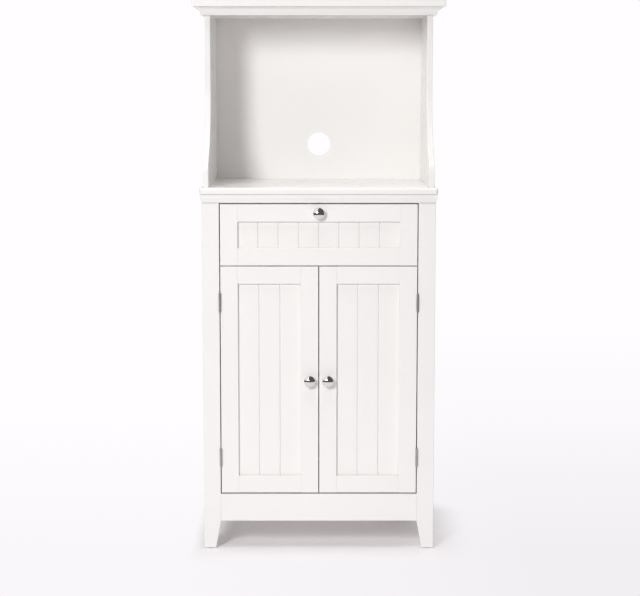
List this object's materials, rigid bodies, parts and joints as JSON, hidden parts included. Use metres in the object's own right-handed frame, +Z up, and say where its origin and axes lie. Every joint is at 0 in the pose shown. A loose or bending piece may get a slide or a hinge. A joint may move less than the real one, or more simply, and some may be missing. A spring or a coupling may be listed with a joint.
{
  "type": "microwave stand with drawer",
  "caption": "Painted kitchen cabinet on tapered legs with hinged doors, a drawer, and an open hutch above the counter for a microwave oven, with a cable hole in its back.",
  "frame": {"origin": "on the floor under the middle of the box that holds the whole stand with its doors and drawer shut", "axes": "+X to the right as seen from the front, +Y to the back, +Z up"},
  "size_m": [0.7, 0.457, 1.524],
  "materials": {
    "white_paint": "satin white paint on board",
    "drawer_board": "white foil on board",
    "back_board": "white paint on thin board",
    "chrome": "polished",
    "nickel": "satin nickel plate",
    "slide_enamel": "white epoxy on folded steel",
    "roller_plastic": "natural nylon",
    "glide_plastic": "smooth",
    "catch_plastic": "moulded"
  },
  "bodies": {
    "cabinet": {"adjustable_shelf": "white_paint", "back_post_left": "white_paint", "back_post_right": "white_paint", "bottom_panel": "white_paint", "cabinet_back": "back_board", "cabinet_screws": "nickel", "counter_top": "white_paint", "crown_board": "white_paint", "crown_moulding": "white_paint", "drawer_divider": "white_paint", "foot_glides": "glide_plastic", "frame_hinge_leaves": "nickel", "front_apron": "white_paint", "front_post_left": "white_paint", "front_post_right": "white_paint", "hinge_pins": "nickel", "hutch_back": "back_board", "hutch_ceiling": "white_paint", "hutch_side_left": "white_paint", "hutch_side_right": "white_paint", "magnetic_catches": "catch_plastic", "shelf_pins": "nickel", "side_panel_left": "white_paint", "side_panel_right": "white_paint", "slide_channel_left": "slide_enamel", "slide_channel_right": "slide_enamel", "top_rails": "white_paint"},
    "drawer": {"drawer_back": "drawer_board", "drawer_bottom": "drawer_board", "drawer_front_bottom_rail": "white_paint", "drawer_front_panel": "white_paint", "drawer_front_stile_left": "white_paint", "drawer_front_stile_right": "white_paint", "drawer_front_top_rail": "white_paint", "drawer_knob": "chrome", "drawer_side_left": "drawer_board", "drawer_side_right": "drawer_board", "drawer_slide_screws": "nickel", "slide_runner_left": "slide_enamel", "slide_runner_right": "slide_enamel"},
    "left_door": {"left_door_bottom_rail": "white_paint", "left_door_hinge_leaves": "nickel", "left_door_hinge_screws": "nickel", "left_door_hinge_stile": "white_paint", "left_door_knob": "chrome", "left_door_knob_stile": "white_paint", "left_door_panel": "white_paint", "left_door_strike_plate": "nickel", "left_door_top_rail": "white_paint"},
    "right_door": {"right_door_bottom_rail": "white_paint", "right_door_hinge_leaves": "nickel", "right_door_hinge_screws": "nickel", "right_door_hinge_stile": "white_paint", "right_door_knob": "chrome", "right_door_knob_stile": "white_paint", "right_door_panel": "white_paint", "right_door_strike_plate": "nickel", "right_door_top_rail": "white_paint"},
    "channel_rollers": {"channel_rollers": "roller_plastic"},
    "runner_rollers": {"runner_rollers": "roller_plastic"}
  },
  "joints": [
    {"name": "drawer_slide", "type": "slide", "parent": "cabinet", "child": "drawer", "axis": [0, -1, 0], "range_m": [0, 0.29]},
    {"name": "left_door_hinge", "type": "hinge", "parent": "cabinet", "child": "left_door", "pos_m": [-0.27175, -0.205, 0.477], "axis": [0, 0, -1], "range_deg": [0, 170]},
    {"name": "right_door_hinge", "type": "hinge", "parent": "cabinet", "child": "right_door", "pos_m": [0.27175, -0.205, 0.477], "axis": [0, 0, 1], "range_deg": [0, 170]},
    {"name": "channel_rollers_spin", "type": "hinge", "parent": "cabinet", "child": "channel_rollers", "pos_m": [0, -0.1495, 0.82705], "axis": [1, 0, 0], "range_deg": [0, 1750]},
    {"name": "runner_rollers_spin", "type": "hinge", "parent": "drawer", "child": "runner_rollers", "pos_m": [0, 0.1965, 0.8268], "axis": [1, 0, 0], "range_deg": [0, 1750]}
  ],
  "couplings": [
    {"joint": "channel_rollers_spin", "follows": "drawer_slide", "rad_per_m": 105.26},
    {"joint": "runner_rollers_spin", "follows": "drawer_slide", "rad_per_m": 105.26}
  ]
}
